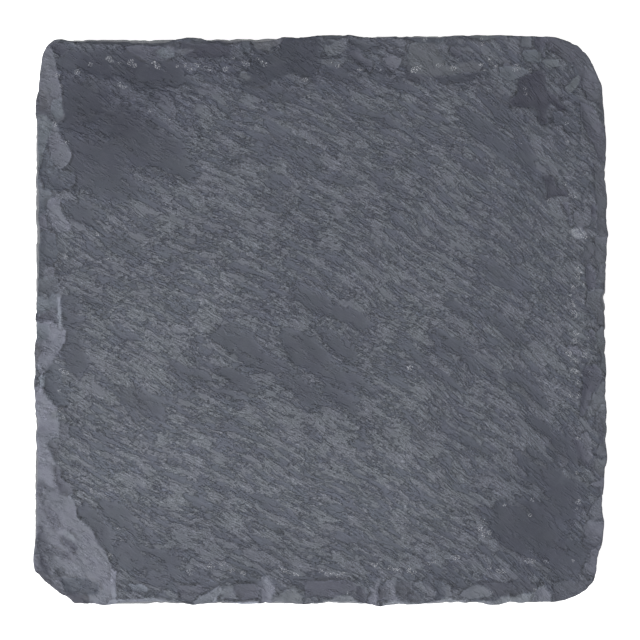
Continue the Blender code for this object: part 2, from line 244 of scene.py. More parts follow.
        45.2,39.6, 46.4,38, 47.2,37.6, 48.6,36.4, 54,36, 54,54),
    (.12, "violet", .1, 45.4,44, 47.2,43.6, 48.2,42, 54,39.8, 54,38, 47.4,37.6, 46,39, 45.2,40.6,
        45.2,42.4),
    (-.35, "violet", .05, 45,39.9, 45.4,39.7, 46.3,38.3, 46,38.3),
    (-.35, "violet", .05, 47.1,37.8, 47.6,37.6, 49,36.3, 48.6,36.2),
    (-.6, "violet", .12, 36.2,42.4, 38,43.2, 38.8,42.2, 39,40.8, 39.3,39.4, 40.2,38.8, 41.4,37.6,
        42.6,36.4, 41,36.2, 40,37.4, 39.6,37, 39,35.4, 39.6,34, 38.4,33.4, 37.6,34.4, 37.6,36,
        36.6,36.6, 34.6,36.8, 33,37, 32.6,37.8, 33.4,38.4, 34.2,39.6, 34,40.8, 34.6,41.6),
    (-.29, "teal", .08, 40,36, 41.4,35.8, 42.4,35, 44,34.4, 44.8,33.4, 44.4,32.4, 42.6,32.4, 41.8,33.6,
        40.4,33.8, 40.2,35),
    (-.32, "violet", .25, 37,47.4, 38.2,54, 39,48.2, 38.6,46.8, 39,45.4, 38.2,45, 37.8,46.2),
    (-.3, "violet", .05, 38.8,47.8, 39.1,47.8, 39.9,46.6, 41.2,46.7, 41.2,46.4, 39.7,46.2),
    (-.3, "violet", .05, 39.8,41.9, 40.1,41.8, 41.6,40.7, 41.5,40.4),
    (-.04, "teal", .06, 35,46.8, 38,46.4, 38.4,44.2, 35.4,44.6, 34.9,45.6),
    (.04, "green", .25, 34.8,54, 34.6,47.2, 36.6,47, 36.8,54),
    (.16, "green", .04, 38.6,44.8, 41,44.8, 41.6,43.6, 38.8,43.4),
    (.02, "green", 0, 42.2,40, 44.6,42.6, 44.6,40.2, 43,39),
    # rear side, right to left
    (.02, "teal", 0, 31,43.9, 33.4,43.7, 36.2,43.3, 36,42.7, 34.6,42, 32.6,41.2, 31,42),
    (-.3, "grey", .05, 31.6,44.3, 33.9,44.1, 33.8,43.8, 32.2,44),
    (-.36, "grey", .1, 27.2,42, 28,41.2, 29.4,41.1, 30.4,40.1, 30.2,39.7, 28.6,40.7, 27.6,40.9),
    (-.08, "olive", .04, 15,47.4, 17,47.8, 19.8,47.8, 21,46, 21.6,44.6, 22.6,43.4, 24,44.2, 26.2,44.8,
        28,44, 27.8,42.9, 25,42.8, 22,42.2, 19,41.9, 17.4,42.4, 16.2,42.8, 15.4,44.2, 15,45.6),
    (-.48, "grey", .08, 15,43.8, 16,42.9, 17.2,42.4, 18,41.6, 17.4,40.6, 16,41.2, 14.4,42),
    (-.54, "teal", .1, 19.6,41.8, 22,42, 25,42.7, 27.4,42.7, 27.2,41.8, 25,41, 22.4,41.2, 21.4,40.6,
        20.6,41.2),
    (-.2, "teal", .3, 15,54, 15,48.8, 16.4,47.9, 20.8,47.7, 21.4,49, 21.6,54),
    (-.22, "violet", .2, 22.4,47, 24,47.2, 24.4,45.6, 23.4,45, 22.6,46),
    (-.26, "teal", .1, 20.3,46.5, 21,46, 22.1,44.4, 21.3,44.6),
    (-.12, "teal", .1, 24.6,46, 26,45.6, 25.6,44.8, 24.4,45.2),
    (.02, "green", .35, 21.6,54, 22,48.4, 25,49, 27.6,48.2, 31,48.6, 31.4,54),
    (.12, "violet", .1, 10.6,45.2, 12.4,45.6, 14.4,45.2, 14,44.2, 13.2,43.2, 12.4,42.8, 11.4,43.8),
    (-.41, "grey", .1, 11.4,47, 12.6,46.6, 15,46, 15,45.5, 13.4,45.8, 11.8,46.2),
    (-.34, "violet", .15, 5.2,46.4, 6.6,46.4, 7.6,45.2, 8.8,44.6, 9,43, 8.6,42.6, 7.8,44, 6,44.4,
        5.2,45),
    (-.27, "green", .25, .6,54, .6,48.4, 3,48.6, 5,49, 7.6,48.4, 9.6,47.8, 10.2,47.2, 8.4,47, 7.2,46.6,
        5.4,47.6, 4.8,54),
    (.12, "grey", .12, .6,47.6, 1.8,47.4, 3.4,48.4, 4.6,48.2, 4.6,46.8, 3.8,46, 3,45.6, 1.4,45.4,
        .8,46.2),
    (-.11, "grey", 0, 0,45, 2,44.9, 4.4,45, 3.8,44, 1.6,43.8, .2,44),
    (-.56, "teal", .1, -11.6,45.8, -9.6,45.6, -7,46.4, -6.2,48.4, -4,54, 0,54, 0,45.4, -.6,43, -1,41.4,
        -2.4,41.4, -4,42.6, -5.6,42.4, -8,41.6, -9.6,40.4, -12,40.2, -13.6,40.4, -12.2,43.4),
    (.02, "violet", 0, -4.4,42, -3,42, -1.8,41.6, -2.2,40.8, -4,40.8),
    (.04, "brown", .28, -25,54, -24.8,48.8, -23,48.4, -21,48.2, -17.4,48, -15.6,47.8, -12,48.2,
        -11,46.6, -9,46.4, -7,47.6, -6.6,49, -6.4,54),
    (-.22, "teal", .12, -13.6,47.8, -12.6,48.2, -12,47, -12.4,46, -13.4,46.4),
    (-.56, "violet", .1, -24,47.8, -21,47.6, -17.6,47.6, -15.6,46.8, -15.2,45.4, -20,45.3, -23,45.6),
    (.02, "violet", 0, -25,45.6, -24.6,46.8, -22.4,46.8, -21.6,46.4, -23.6,45.6),
    (.02, "grey", 0, -13.9,42.6, -13,42.9, -12.2,42, -12.4,41.4, -13.6,41.6),
    (-.43, "green", .35, -46,54, -44,48.6, -42,47.9, -39,47.8, -36.6,47.6, -33.4,47.5, -25.4,47.3,
        -25,54),
    (-.22, "violet", .14, -34,47.4, -31.4,47.2, -28.6,47.2, -25.6,47.3, -24.8,46.4, -25.4,45.2,
        -27.4,44.7, -30.6,45, -32.2,46),
    (.08, "teal", 0, -28.4,46.4, -26.6,47, -25,46.4, -25.4,45.3, -27.2,45.2),
]

# Smooth dark ground showing through: (x, y, half length, half width, turn in degrees, strength).
SMOOTH_PATCHES = [
    (-31, 31, 11, 4.5, -28, 1), (-39, 27, 7, 6, -10, 1), (-41, 37, 4.5, 6, 0, .9),
    (-27, 28.5, 7, 2.2, -35, .9), (-36, 23.5, 6, 2.5, -20, .8), (-36, 44.5, 9, 2.6, 0, .9),
    (-28, 42.5, 6, 3, 0, .85), (-43, 45, 2.5, 2.5, 0, .8), (3, 43, 5, 2.2, -20, .5),
    (12, 41.8, 6, 1.5, -25, .5), (-9, 39.6, 6, 1.6, -20, .6), (-14.5, -3.5, 4.5, 2.6, -30, .9),
    (-11, -6.5, 7, 2, -33, .9), (-3, -4.5, 5, 3.2, -35, 1), (-1, 3.2, 4.5, 1.8, -30, .9),
    (5, .5, 4.5, 1.6, -25, .9), (3, -4, 5, 1.6, -38, .8), (1, -8.5, 7, 2, -38, .9),
    (-3, -12, 6, 1.8, -33, .9), (-14, -10.5, 5, 1.6, -30, .8), (-7, -8.5, 5, 1.5, -33, .7),
    (7, -11, 4, 1.2, -35, .6), (-16, -13, 4, 1, -30, .6), (3.5, -13.5, 4, 1.4, -35, .8),
    (-31, -14, 4.5, 2.2, -30, .85), (-22, -9.5, 5, 1.5, -28, .5), (-34, -2.2, 3, 1.2, -25, .5),
    (-42.5, -5.5, 2.2, 4.5, 15, .8), (-43, 2, 1.8, 4, 0, .6), (-41, 18.5, 4, 2, -30, .7),
    (-33, 12.5, 5, 1.5, -30, .4), (-35, -33.5, 4, 2, -25, .7), (-38.5, -36, 2.6, 5, 25, .8),
    (-30, -41, 8, 3, -5, .6), (-32, -36.5, 4, 1.5, -20, .4), (-8, -32, 5, 1.2, -28, .5),
    (-24, -44.5, 7, 2, 0, .5), (-13, -44.5, 4, 2, 0, .5), (0, -45.5, 5, 2, 0, .7),
    (31.5, 7.5, 3.5, 1.6, -35, .8), (25, -6, 8, 1.4, -38, .6), (24, 2, 4, 1, -38, .5),
    (36, -12.5, 5, 1.6, -42, .8), (38, -18.5, 4.5, 1.5, -40, .8), (42, -22.5, 4, 3, -35, .9),
    (38.5, -26, 5, 3, -40, .9), (35.5, -36, 7, 5.4, -28, 1.1), (42, -31, 4, 5, -20, .9),
    (42, -41, 5, 4, 0, .8), (33, -46, 5, 1.5, 0, .6), (27, -22, 4, 1.2, -40, .4),
    (20, -9, 6, 1, -38, .5), (33, -2, 6, 1.2, -42, .5), (18, 14, 5, 1.2, -30, .3),
    (11, 24, 6, 1.2, -30, .35), (4, 24, 4, 1.2, -30, .4), (-2, 27, 4, 1.5, -30, .4),
    (-7, 31, 3, 1.2, -35, .4), (28, 33, 7, 1.8, -40, .6), (31, 37, 3, 3, 0, .5),
    (26, 27, 5, 1.2, -40, .4), (35.5, 28.5, 1.6, 3, 20, .8), (10, 35, 5, 1, -28, .4),
    (22, -45, 4, 1.5, 0, .5),
]

# Wide lighter and darker zones of the face, in the same form.
TONE_ZONES = [
    (-30, -7, 10, 5, -15, .1), (-38, -26, 9, 5, -15, .16), (-22, -22, 12, 5, -15, .1),
    (-28, 12, 16, 10, -20, .05), (46, 5, 8, 14, 0, .04), (34, 34, 10, 12, 0, -.06),
    (30, -42, 20, 8, 0, -.06), (-8, 43, 30, 7, 0, -.08), (-36, 36, 15, 14, 0, -.2),
    (36, -32, 10, 10, 0, -.08), (-25, -40, 16, 7, 0, -.02), (-5, -26, 34, 12, -15, .14),
    (-34, -16, 12, 12, 0, .08), (-16, 44, 26, 6, 0, -.08), (-21, 7, 9, 6, 0, .1),
    (-28, -1, 14, 5, -10, .12), (15, 1, 8, 6, 0, .07), (15, -14, 9, 6, 0, .06),
    (15, -29, 10, 8, 0, .07), (-38, 33, 7, 6, 0, -.06), (-32, -31, 12, 9, 0, .08),
    (-20, 7, 7, 5, 0, .06), (-28, 0, 16, 7, -10, .05), (15, -16, 5, 30, 0, .05),
    (-25, -30, 18, 6, 0, .05), (-37, 38, 14, 12, 0, -.16), (-3, -33, 20, 6, -10, .06),
    (42, 38, 6, 10, 0, -.08), (41, -21, 8, 5, -35, -.11), (40, -35, 10, 12, 0, -.12),
    (0, 45, 42, 6, 0, -.09),
]

# Long thin laminae: (strength, half width, x and y of each point along it).
STREAKS = [
    (1, .42, 35,-18.3, 38,-20.1, 40,-22.1, 42.6,-24.3), (.9, .28, 35,-20.2, 36.6,-21, 38.6,-22.4),
    (1, .4, 33.5,-11, 35.6,-13, 37,-14.6, 39.6,-16.4), (.9, .3, 35,-22.8, 37,-24.4, 39.2,-25.4),
    (1.1, .16, 40,-10.4, 41.6,-12, 43,-13.4), (.8, .5, 37,-4.4, 39.4,-6.2, 41.8,-8.4),
    (1, .25, 32,-29.8, 34,-31.4, 35.6,-32.8, 36.3,-34),
    (1.1, .35, 27.6,-37.4, 30,-38.6, 33,-40.2, 35.4,-41.4, 38,-42.4, 39.6,-43.2),
    (.9, .25, 36.6,-29.6, 38.4,-30.6, 39.4,-31), (.9, .2, 40,-38, 41.4,-39.2, 42.6,-39.9),
    (1, .2, 42,-26.4, 43,-27, 44.4,-27.4), (.9, .35, 26,-41.5, 28,-43.4, 30,-44, 32,-45),
    (1, .25, -44.2,-9, -42,-10.6, -40,-12.4, -38.6,-12.8, -36.8,-13.6, -34.8,-14.4),
    (.9, .2, -42.6,-13.2, -40.6,-14.2, -39.8,-14.6), (.9, .25, -43,-20.6, -41.6,-21.8, -40,-22.8),
    (.8, .3, -41.2,-5, -39.6,-6, -38,-7.2), (1, .28, -43,7.4, -41.6,7, -40.2,6.2, -38.4,5),
    (.9, .2, -42,12.4, -41,11.4, -40.4,10.6), (1, .22, -39.4,36, -38,35.6, -36.4,35.2, -35.2,34.8),
    (.9, .2, -33.6,30, -32,28.8, -31,28.4), (1.1, .18, -34.6,40.6, -33.6,40, -32.4,39.6),
    (.9, .18, -40.4,41.2, -39.2,40.3), (.9, .18, -37.9,41.2, -36.6,40.4),
    (1, .4, -31,38.6, -29,36.6, -27.4,35.4, -25.6,33.4), (.9, .3, -21.6,42, -20.6,41.2, -19.6,40.4),
    (.9, .22, -14,38, -12.6,37.4, -11.4,36.6), (.9, .25, 5,42.6, 6,41.8, 7.4,41),
    (.9, .25, 7.8,42.4, 8.2,41.6, 9.4,40.6), (.9, .25, 14.6,41.4, 16.4,40.6, 18.6,39.4),
    (.9, .4, 36.6,31.2, 37.6,29.4, 38.8,28, 41,26.4), (.9, .2, 36.2,34.4, 38.6,32.8),
    (.9, .25, -20,-36.6, -17.4,-38, -14.4,-39.4),
    (.8, .25, -24,-37.6, -21.4,-39.4, -19.6,-40.2, -16.4,-41), (.8, .25, -10,-40.2, -9,-41, -8.2,-42),
    (.8, .3, 3,-40.6, 6,-42.6, 8.4,-43.6), (.8, .3, 17,-38.8, 19.6,-39.6, 22,-40.8),
    (.8, .3, 14,-42, 17.4,-42.4),
]

# White bruises of the dresser's hammer, by size: x and y of each.
BRUISES = {
    .2: (-15.9,43.5, -14.9,45.2, -14.9,44, 2,44.4, 10.4,43.1, 44,34.2, 34.6,30.4, 45,8.2, 46,-2.6,
        46.6,-8.9, 43.6,-1.8, 38.8,-41.7, -15.9,-43.2, -6.8,-43, 6.5,-41.5, -36.6,10.5, 6,13.5),
    .25: (-35.9,44.6, -34.7,44.3, -26,34.5, -24.6,43.8, -21.7,44.3, -19.8,43.6, -15.6,44.6, -13.4,44.4,
        -2,38.6, 9.6,43.6, 21.3,44, 29.2,44.9, 30.4,43.8, 28.2,43, 35.4,40, 44,21.3, 43,25.9, 45.6,6.2,
        43.4,3.3, 44.2,.6, 46.3,-2.9, 44.3,-32.6, 43.6,-41.6, 39.2,-41.8, 29.6,-47, -18.4,-42.7,
        -3.8,-44, 10.3,-42.7, 13.5,-42.9, 4.8,-47, -34.8,-36, 9.3,3.8, 13,-8.7, 9.7,-11),
    .3: (-44.7,40.4, -29.3,36.1, -43.6,30.6, -23.2,43.9, -10.8,45.1, 27.8,48.5, 35.5,39, 42.6,33.9,
        42.3,23.5, 44.8,15.6, 45.8,14.3, 45.2,14.4, 44.2,-7, 44.6,-10.7, 44.3,-26.4, 36.3,-33.7,
        36.7,-31, 31.9,-32, 28.2,-34.6, 27.6,-36.3, 28.2,-37.2, 31.9,-43.4, 37.1,-46.6, -22.3,-43.8,
        -5.4,-43.5, 2.1,-43.7, 4,-43.7, 13,-43.1, 22.9,-40.9, 23.9,-40.9, -12.2,-49.2, -39.4,-29.3,
        -44.2,-16.8, -33.3,-9.3, -38.4,14.8, -45,-12.3),
    .35: (-45.3,42.2, -39.6,44.1, -31.9,43.9, -28.6,44.3, -34.6,40.6, -33.8,40.1, -22.4,43.2, -20.9,44,
        -19,43.3, -9.9,44.4, -9.5,44.1, 6.8,43.2, 17.2,43.6, 20.4,43.9, 28.1,47.6, 27.8,44.1, 29.6,44.2,
        36.2,43.1, 42.6,30.6, 39.4,20.6, 43.4,15.3, 44.2,15.4, 44.4,14.6, 45.6,14.9, 43.9,14.6,
        44.6,8.4, 44.5,7.3, 43,4.2, 43.5,-6.9, 44.3,-9, 43.3,-12.9, 27.6,-35.6, 28.4,-36.6, 29.2,-36.7,
        29.2,-42.7, 30.6,-43.2, -22.6,-43.4, -4.6,-43.8, .1,-43.3, 3,-44.1, 9.2,-42.1, 9.6,-42.2,
        16.2,-43.6, 18.7,-42, 19.8,-41.6, -36.2,-40.5),
    .4: (-45.8,33.8, -16.4,43.3, -2.5,41.4, 3,43.8, 43.4,21.6, 44.3,9.1, 43.8,5.8, 43.7,2.7, 44.2,-2.3,
        45.7,-6.1, 43.7,-8.5, 44.6,-13.1, 44.6,-20.3, 44.6,-31.4, 35.8,-41.6, 36.8,-41.6, 31.2,-43.4,
        -18.9,-42.4, -16.8,-42, -15.2,-43.2, -13.2,-43.7, -6,-43.2, 1.2,-43.9, 12.1,-42.7, 15.4,-43.2,
        -43.8,11, -44.7,-15.5),
    .45: (-41.9,42.7, -36.4,45.1, -28,43.7, 18,48.4, 43.8,1.2, 43.9,-3.7, 23.4,-40.9, -43.8,-9,
        15.5,-8.2),
    .5: (-32.6,44.4, -12.7,44.2, 16.2,43.1, 22.9,43.5, 42.9,-5.7, -44.4,-8.6),
    .6: (33.8,43.5),
}

# Multipliers on the stone's colour.
HUES = {
    "grey": (1.0, 1.0, 1.0), "violet": (1.01, 0.99, 1.025), "teal": (0.97, 1.01, 1.015),
    "green": (0.985, 1.01, 0.985), "olive": (1.008, 1.008, 0.98), "brown": (1.02, 0.995, 0.98),
}

# Wide sloping strips of rim that show their layers: (x, y, half length, width).
RIM_STRIPS = [
    (-49.5, 18, 22, .7), (-49.5, -28, 14, .6), (-35, 49, 11, .9), (-14, 49, 8, .6), (14, 49, 10, .4),
    (-30, -49.5, 8, .8), (-12, -49.5, 9, .3), (4, -49.5, 5, .6), (23, -49.5, 7, .6),
    (36, -49.5, 5, .3), (49.5, 0, 10, .3), (49.5, -30, 6, .3), (46, 46, 6, .3),
]

# Tone and hue of the side wall, by the way that it looks. The hues are the stone's own; the tones are
# partly painted light, lightest on the front wall, which faces the key light.
WALL_COLOURS_WITH_PAINTED_LIGHT = [
    ((-1, 0), 0.00, "olive"), ((0, -1), 0.34, "grey"), ((1, 0), 0.04, "grey"), ((0, 1), -0.02, "green"),
    ((-0.7, -0.7), -0.22, "brown"), ((0.7, 0.7), -0.10, "grey"),
]

Chip = namedtuple("Chip", "x y inwards half_width reach tone")


# ---- fields over the plane -----------------------------------------------------------

WORD = 0xFFFFFFFF           # keeps the noise's hash within 32 bits


def gradient_noise(x, y, seed):
    """Smooth noise of about -1 to 1 with features one unit apart, at many points at once."""
    column = np.floor(x).astype(np.int64)
    row = np.floor(y).astype(np.int64)
    dx = x - column
    dy = y - row

    def corner(step_x, step_y):
        mixed = (column + step_x) * 374761393 + (row + step_y) * 668265263 + seed * 974634777
        mixed &= WORD
        mixed = ((mixed ^ (mixed >> 13)) * 1274126177) & WORD
        angle = (mixed ^ (mixed >> 16)) * (2 * math.pi / 2 ** 32)
        return np.cos(angle) * (dx - step_x) + np.sin(angle) * (dy - step_y)

    ease_x = dx ** 3 * (dx * (dx * 6 - 15) + 10)
    ease_y = dy ** 3 * (dy * (dy * 6 - 15) + 10)
    front = corner(0, 0) * (1 - ease_x) + corner(1, 0) * ease_x
    rear = corner(0, 1) * (1 - ease_x) + corner(1, 1) * ease_x
    return 1.5 * (front * (1 - ease_y) + rear * ease_y)


def layered_noise(x, y, seed, octaves=3):
    """Noise with finer, weaker noise laid over it."""
    total = np.zeros_like(x)
    for octave in range(octaves):
        total += gradient_noise(x * 2 ** octave, y * 2 ** octave, seed + 17 * octave) * 0.5 ** octave
    return total / 1.4


def line_noise(place, seed):
    """Layered noise along a line."""
    return layered_noise(place, np.full_like(place, 0.5), seed)


def pairs(flat):
    """The x, y pairs of a flat row of numbers."""
    return list(zip(flat[::2], flat[1::2]))


def ramp(value, start, end):
    """0 below start, 1 above end, smooth between them."""
    share = np.clip((value - start) / (end - start), 0, 1)
    return share * share * (3 - 2 * share)


def oval(x, y, centre_x, centre_y, half_length, half_width, turn):
    """0 at the centre of a turned oval and 1 on its border."""
    angle = math.radians(turn)
    along = (x - centre_x) * math.cos(angle) + (y - centre_y) * math.sin(angle)
    across = (y - centre_y) * math.cos(angle) - (x - centre_x) * math.sin(angle)
    return np.sqrt((along / half_length) ** 2 + (across / half_width) ** 2)


def grain_coordinates(x, y):
    """Distances along and across the grain, which bends towards the right edge."""
    angle = math.radians(GRAIN_ANGLE)
    bend = (math.tan(math.radians(GRAIN_ANGLE_RIGHT)) - math.tan(angle)) * math.cos(angle)
    start, end = GRAIN_BEND
    run = np.clip(x - start, 0, end - start)
    extra = bend * (run ** 2 / (2 * (end - start)) + np.maximum(x - end, 0))
    wander = 1.1 * gradient_noise(x / 19, y / 19, 5) + 0.45 * gradient_noise(x / 7, y / 7, 6)
    along = x * math.cos(angle) - y * math.sin(angle)
    across = x * math.sin(angle) + y * math.cos(angle) + extra + wander
    return along, across


def patch_amount(x, y):
    """How much of the bare, smooth ground shows, 0 to about 1."""
    ragged = 0.30 * layered_noise(x / 5, y / 5, 31) + 0.14 * layered_noise(x / 1.6, y / 1.6, 32)
    amount = np.zeros_like(x)
    for *place, strength in SMOOTH_PATCHES:
        amount = np.maximum(amount, strength * ramp(oval(x, y, *place) + ragged, 1.15, 0.55))
    return amount


def zone_tone(x, y):
    """How much lighter the face is in its zones."""
    tone = np.zeros_like(x)
    for *place, strength in TONE_ZONES:
        tone += strength * ramp(oval(x, y, *place), 1.3, 0.2)
    return tone


def lamina_field(along, across, x, y, patches):
    """Above 0 where a lamina stayed on the face, below 0 where the ground is bare."""
    tongues = layered_noise(along / 6.4, across / 0.95, 41, 3)
    clumps = layered_noise(along / 3.2, across / 0.62, 42, 2)
    crumbs = layered_noise(x / 0.9, y / 0.9, 43, 1)
    broad = gradient_noise(x / 13, y / 13, 44)
    return (
        0.62 * tongues + 0.48 * clumps + 0.14 * crumbs + 0.14 * broad + 0.08
        - 0.64 * patches + streak_field(x, y)
    )


def streak_field(x, y):
    """The long thin laminae that are placed one by one."""
    stray_x = x + 0.30 * layered_noise(x / 1.6, y / 1.6, 45, 2)
    stray_y = y + 0.30 * layered_noise(x / 1.6, y / 1.6, 46, 2)
    field = np.zeros_like(x)
    for strength, half_width, *flat in STREAKS:
        points = pairs(flat)
        away = np.full_like(x, 9.0)
        for start, end in zip(points, points[1:]):
            away = np.minimum(away, segment_distance(stray_x, stray_y, start, end))
        field = np.maximum(field, strength * ramp(away, 1.8 * half_width, 0.4 * half_width))
    return field


# ---- dressed edge --------------------------------------------------------------------

def segment_distance(x, y, start, end):
    """Distance to the straight line between two points."""
    run_x = end[0] - start[0]
    run_y = end[1] - start[1]
    share = np.clip(((x - start[0]) * run_x + (y - start[1]) * run_y) / (run_x ** 2 + run_y ** 2), 0, 1)
    return np.hypot(x - start[0] - share * run_x, y - start[1] - share * run_y)


def depth_inside(x, y, corners):
    """Distance to a polygon's border, above 0 inside it and below 0 outside."""
    nearest = np.full_like(x, 1e9)
    inside = np.zeros(x.shape, bool)
    for start, end in zip(corners, corners[1:] + corners[:1]):
        nearest = np.minimum(nearest, segment_distance(x, y, start, end))
        if start[1] != end[1]:
            slant = (end[0] - start[0]) / (end[1] - start[1])
            crossing = (start[1] > y) != (end[1] > y)
            inside ^= crossing & (x < start[0] + (y - start[1]) * slant)
    return np.where(inside, nearest, -nearest)


def facet_fields(x, y):
    """Depth taken off by the facets, how fully they cover, their shade and the nearest border."""
    stray_x = x + BORDER_WANDER * layered_noise(x / 1.9, y / 1.9, 51, 3)
    stray_y = y + BORDER_WANDER * layered_noise(x / 1.9, y / 1.9, 52, 3)
    drop = np.zeros_like(x)
    cover = np.zeros_like(x)
    brink = np.full_like(x, -2.0)
    shade = np.ones(x.shape + (3,))
    for tone, hue, cut, *flat in FACETS:
        corners = pairs(flat)
        lowest = np.min(corners, axis=0) - 2
        highest = np.max(corners, axis=0) + 2
        near = (x > lowest[0]) & (x < highest[0]) & (y > lowest[1]) & (y < highest[1])
        inside = depth_inside(stray_x[near], stray_y[near], corners)
        here = ramp(inside, -0.10, 0.12)
        ledge = FACET_LEDGE * min(1.0, 0.4 + 4 * cut) * ramp(inside, 0, 0.3)
        drop[near] += ledge + cut * np.maximum(inside, 0)
        cover[near] = np.maximum(cover[near], here)
        # own hue, and a tone that is partly painted light and painted shade
        deep = np.array([1, 1, 1 - DEEP_BLUE * min(tone, 0)])
        colour = (1 + tone) * np.array(HUES[hue]) * deep
        shade[near] += (colour - shade[near]) * here[:, None]
        closer = np.abs(inside) < np.abs(brink[near])
        brink[near] = np.where(closer, inside, brink[near])
    return drop, cover, shade, brink


def rim_chips():
    """Small chips all round the rim, in seeded places."""
    dice = np.random.default_rng(CHIP_SEED)
    chips = []
    for turn in dice.uniform(-180, 180, CHIP_COUNT):
        angle = math.radians(turn)
        radius = rim_radius(np.array([angle]))[0]
        at_corner = abs((turn % 90) - 45) <= CORNER_SPAN
        inwards = turn + 180 if at_corner else 180 + 90 * round(turn / 90)
        half_width = dice.uniform(0.5, 1.5)
        chips.append(Chip(
            radius * math.cos(angle), radius * math.sin(angle), inwards,
            half_width, half_width * dice.uniform(0.5, 1.3), dice.uniform(-0.12, 0.18),
        ))
    return chips


def chip_fields(x, y):
    """Depth and tone of the small chips."""
    drop = np.zeros_like(x)
    tone = np.zeros_like(x)
    ragged = 0.16 * layered_noise(x / 1.2, y / 1.2, 53, 2)
    for chip in rim_chips():
        angle = math.radians(chip.inwards)
        across = (y - chip.y) * math.cos(angle) - (x - chip.x) * math.sin(angle)
        inward = (x - chip.x) * math.cos(angle) + (y - chip.y) * math.sin(angle)
        away = np.hypot(across / chip.half_width, np.maximum(inward / chip.reach, 0)) + ragged
        here = np.where(away < 1, 0.08 + 0.5 * chip.reach * np.maximum(1 - away, 0), 0)
        tone = np.where(here > drop, chip.tone, tone)
        drop = np.maximum(drop, here)
    return drop, tone


def terraced(drop, x, y):
    """Pulls part of the scars' slopes on to cleavage planes, with ragged risers."""
    ragged = 0.35 * layered_noise(x / 3.0, y / 3.0, 61) + 0.12 * layered_noise(x / 0.9, y / 0.9, 62, 2)
    level = drop / TERRACE + ragged
    tread = np.floor(level)
    riser = ramp(level - tread, 0.55, 0.95)
    stepped = (tread + riser - ragged) * TERRACE
    amount = 0.55 * ramp(drop, 0.25, 0.9)
    return drop + (stepped - drop) * amount


# ---- outline -------------------------------------------------------------------------

def cad_rim():
    """Angle and radius of the widest ring of the slab, in order round the outline."""
    corners = np.array([tuple(v.co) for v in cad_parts["stone_slab"].data.vertices]) / MM
    low_ring = corners[(corners[:, 2] > STONE_BASE + 0.3) & (corners[:, 2] < STONE_BASE + 0.7)]
    angles = np.arctan2(low_ring[:, 1], low_ring[:, 0])
    radii = np.hypot(low_ring[:, 0], low_ring[:, 1])
    order = np.argsort(angles)
    return angles[order], radii[order]


RIM_ANGLES, RIM_RADII = cad_rim()


def rim_radius(angle):
    """Radius of the outline, with the small nicks that run all the way down."""
    nicks = np.maximum(line_noise(angle * NICK_PITCH, 85), 0)
    return np.interp(angle, RIM_ANGLES, RIM_RADII, period=2 * math.pi) - NICK_DEPTH * nicks


def crowded(grid):
    """Moves grid coordinates outwards so that the cells are finest at the dressed edge."""
    return grid + CROWDING * np.sin(math.pi * grid) / math.pi


def fit_to_outline(grid_x, grid_y, inset):
    """Moves points of the square from -1 to 1 so that its border lies on the outline."""
    reach = np.maximum(np.abs(grid_x), np.abs(grid_y))
    safe = np.maximum(reach, 1e-9)
    angle = np.arctan2(grid_y * HALF_Y, grid_x * HALF_X)
    border_x = grid_x / safe * HALF_X
    border_y = grid_y / safe * HALF_Y
    shrink = (rim_radius(angle) - inset) / np.maximum(np.hypot(border_x, border_y), 1)
    share = reach ** SQUARE_CORE
    scale = 1 - share + share * shrink
    return grid_x * HALF_X * scale, grid_y * HALF_Y * scale


# ---- the stone -----------------------------------------------------------------------

def stone_fields(x, y):
    """Height of the top surface and everything that the slate material reads."""
    along, across = grain_coordinates(x, y)
    patches = patch_amount(x, y)
    lamina = lamina_field(along, across, x, y, patches)
    drop, scar, shade, brink = facet_fields(x, y)
    chip_drop, chip_tone = chip_fields(x, y)
    drop = terraced(drop, x, y) + chip_drop
    most = STONE_TOP - STONE_BASE - MIN_EDGE_THICKNESS
    drop = most * np.tanh(drop / most)

    raised = ramp(lamina, -0.10, 0.16)
    swell = (
        0.6 * layered_noise(x / 24, y / 24, 71, 2)
        + 0.4 * layered_noise(along / 16, across / 5, 72, 2)
    )
    ripples = 0.5 + 0.5 * layered_noise(along / 4, across / 0.8, 73, 2)
    face = (
        SWELL_HEIGHT * (swell - 1)
        + LAMINA_HEIGHT * (raised - 1) * (1 - 0.5 * scar)
        + RIPPLE_HEIGHT * (ripples - 1)
        - PATCH_DEPTH * np.minimum(patches, 1) * (1 - scar)
    )
    scar_skin = SCAR_ROUGHNESS * (layered_noise(x / 1.3, y / 1.3, 74, 3) - 1)
    height = STONE_TOP - drop + face * (1 - 0.55 * scar) + scar_skin * scar
    zone = zone_tone(x, y) * (1 - scar)
    shade = shade * (1 + zone + chip_tone)[:, None]
    shade[:, 2] *= 1 - DEEP_BLUE * np.minimum(zone, ZONE_LIMIT)
    return {
        "height": np.minimum(height, STONE_TOP),
        "lamina": lamina,
        "patch": patches * (1 - scar),
        "scar": scar,
        "brink": brink,
        "bruise": bruise_field(x, y),
        "grain": np.stack([along, across, height], axis=-1),
        "shade": shade,
    }


def bruise_field(x, y):
    """1 in the middle of the white bruises, fading within a millimetre."""
    field = np.zeros_like(x)
    for size, flat in BRUISES.items():
        for place_x, place_y in pairs(flat):
            away = np.hypot((x - place_x) / 1.15, y - place_y)
            field = np.maximum(field, np.exp(-(away / (1.5 * size)) ** 2))
    return field


def rim_inset(angle):
    """How far the top of the side wall lies in from the widest outline."""
    radius = rim_radius(angle)
    inset = 0.50 + 0.40 * line_noise(angle * MEAN_RADIUS / 6, 81)
    for x, y, half_length, width in RIM_STRIPS:
        away = np.hypot(radius * np.cos(angle) - x, radius * np.sin(angle) - y)
        inset += width * ramp(away, half_length, 0.6 * half_length)
    return np.clip(inset, *INSET_RANGE)


